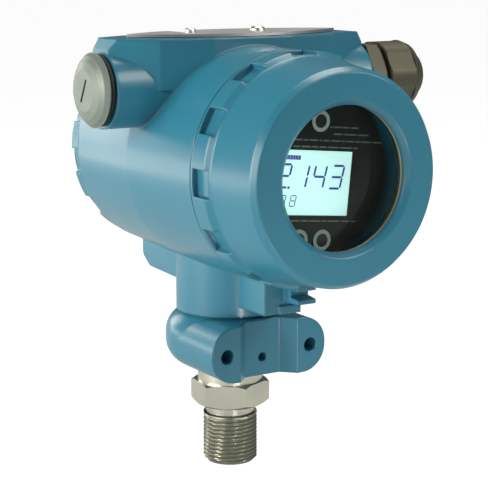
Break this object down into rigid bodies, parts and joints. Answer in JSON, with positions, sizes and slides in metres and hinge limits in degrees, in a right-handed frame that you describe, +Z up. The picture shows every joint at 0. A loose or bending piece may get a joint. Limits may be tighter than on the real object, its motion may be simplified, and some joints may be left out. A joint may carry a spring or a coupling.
{
  "type": "pressure transmitter",
  "caption": "Field pressure transmitter with a cast housing, screwed window cover, display, terminal chamber, nameplate, conduit plug, cable gland and threaded process connection.",
  "frame": {"origin": "centre of the process connection's lower end face, where the pressure port opens", "axes": "+Z up along the process connection, the display window faces -Y, the cable gland points to +X and the conduit plug to -X"},
  "size_m": [0.1397, 0.1332, 0.1607],
  "materials": {
    "housing_paint": "semi-gloss teal-blue powder coat on cast aluminium",
    "stainless_connection": "turned stainless steel",
    "seal_rubber": "black nitrile rubber",
    "sensor_steel": "stainless steel capsule",
    "cable_sheath": "grey insulated lead",
    "case_plastic": "black moulded plastic",
    "circuit_board": "green glass-fibre board",
    "screw_steel": "bright stainless screws",
    "pillar_brass": "turned brass",
    "lcd_glass": "liquid-crystal panel",
    "label_film": "black printed overlay, left bare",
    "key_rubber": "dark keys with a light ring",
    "feedthrough_plastic": "potted lead-through",
    "terminal_plastic": "dark moulded terminal block",
    "nameplate_steel": "bare stainless plate",
    "button_plastic": "dark push buttons",
    "gasket_fibre": "tan fibre gasket",
    "retainer_steel": "sprung steel ring",
    "plug_metal": "matt nickel-plated cast plug",
    "gland_metal": "olive-grey plated brass",
    "washer_plastic": "white nylon washer",
    "window_glass": "clear toughened glass"
  },
  "bodies": {
    "transmitter": {"block_screw_left": "screw_steel", "block_screw_right": "screw_steel", "connection_oring": "seal_rubber", "display_board": "circuit_board", "display_case": "case_plastic", "display_label": "label_film", "display_pillar_left": "pillar_brass", "display_pillar_right": "pillar_brass", "electronics_case": "case_plastic", "gland_body": "gland_metal", "gland_oring": "seal_rubber", "gland_seal": "seal_rubber", "ground_screw": "screw_steel", "housing": "housing_paint", "lcd_panel": "lcd_glass", "main_board": "circuit_board", "module_screw_left": "screw_steel", "module_screw_right": "screw_steel", "nameplate_clamp_screw": "screw_steel", "nameplate_pivot_screw": "screw_steel", "pressure_sensor": "sensor_steel", "process_connection": "stainless_connection", "sensor_cable": "cable_sheath", "terminal_block": "terminal_plastic", "terminal_screw_1": "screw_steel", "terminal_screw_2": "screw_steel", "terminal_screw_3": "screw_steel", "terminal_screw_4": "screw_steel", "wire_feedthrough": "feedthrough_plastic"},
    "nameplate": {"nameplate": "nameplate_steel"},
    "span_button": {"span_button": "button_plastic"},
    "zero_button": {"zero_button": "button_plastic"},
    "top_key": {"display_key_top": "key_rubber"},
    "left_key": {"display_key_left": "key_rubber"},
    "right_key": {"display_key_right": "key_rubber"},
    "front_window": {"front_cover_oring": "seal_rubber", "window_glass": "window_glass", "window_gasket": "gasket_fibre", "window_retainer": "retainer_steel"},
    "front_cover": {"front_cover": "housing_paint"},
    "rear_ring": {"rear_cover_oring": "seal_rubber"},
    "rear_cover": {"rear_cover": "housing_paint"},
    "plug_ring": {"plug_oring": "seal_rubber"},
    "plug": {"conduit_plug": "plug_metal"},
    "gland_washer": {"gland_washer": "washer_plastic"},
    "gland_nut": {"gland_nut": "gland_metal"}
  },
  "joints": [
    {"name": "nameplate_swing", "type": "hinge", "parent": "transmitter", "child": "nameplate", "pos_m": [0.0118, 0, 0.1582], "axis": [0, 0, 1], "range_deg": [0, 120]},
    {"name": "span_button_press", "type": "slide", "parent": "transmitter", "child": "span_button", "axis": [0, 0, -1], "range_m": [0, 0.0012], "stiffness_N_per_m": 400},
    {"name": "zero_button_press", "type": "slide", "parent": "transmitter", "child": "zero_button", "axis": [0, 0, -1], "range_m": [0, 0.0012], "stiffness_N_per_m": 400},
    {"name": "top_key_press", "type": "slide", "parent": "transmitter", "child": "top_key", "axis": [0, 1, 0], "range_m": [0, 0.0004], "stiffness_N_per_m": 400},
    {"name": "left_key_press", "type": "slide", "parent": "transmitter", "child": "left_key", "axis": [0, 1, 0], "range_m": [0, 0.0004], "stiffness_N_per_m": 400},
    {"name": "right_key_press", "type": "slide", "parent": "transmitter", "child": "right_key", "axis": [0, 1, 0], "range_m": [0, 0.0004], "stiffness_N_per_m": 400},
    {"name": "front_cover_travel", "type": "slide", "parent": "transmitter", "child": "front_window", "axis": [0, -1, 0], "range_m": [0, 0.0121]},
    {"name": "front_cover_turn", "type": "hinge", "parent": "front_window", "child": "front_cover", "pos_m": [0, -0.0412, 0.1146], "axis": [0, -1, 0], "range_deg": [0, 2160]},
    {"name": "rear_cover_travel", "type": "slide", "parent": "transmitter", "child": "rear_ring", "axis": [0, 1, 0], "range_m": [0, 0.0121]},
    {"name": "rear_cover_turn", "type": "hinge", "parent": "rear_ring", "child": "rear_cover", "pos_m": [0, 0.047, 0.1146], "axis": [0, 1, 0], "range_deg": [0, 2160]},
    {"name": "plug_travel", "type": "slide", "parent": "transmitter", "child": "plug_ring", "axis": [-1, 0, 0], "range_m": [0, 0.0091]},
    {"name": "plug_turn", "type": "hinge", "parent": "plug_ring", "child": "plug", "pos_m": [-0.0518, 0, 0.1405], "axis": [-1, 0, 0], "range_deg": [0, 2160]},
    {"name": "gland_nut_travel", "type": "slide", "parent": "transmitter", "child": "gland_washer", "axis": [1, 0, 0], "range_m": [0, 0.0071]},
    {"name": "gland_nut_turn", "type": "hinge", "parent": "gland_washer", "child": "gland_nut", "pos_m": [0.063, 0, 0.1405], "axis": [1, 0, 0], "range_deg": [0, 1680]}
  ],
  "couplings": [
    {"joint": "front_cover_travel", "follows": "front_cover_turn", "m_per_rad": 0.00031831},
    {"joint": "rear_cover_travel", "follows": "rear_cover_turn", "m_per_rad": 0.00031831},
    {"joint": "plug_travel", "follows": "plug_turn", "m_per_rad": 0.00023873},
    {"joint": "gland_nut_travel", "follows": "gland_nut_turn", "m_per_rad": 0.00023873}
  ]
}
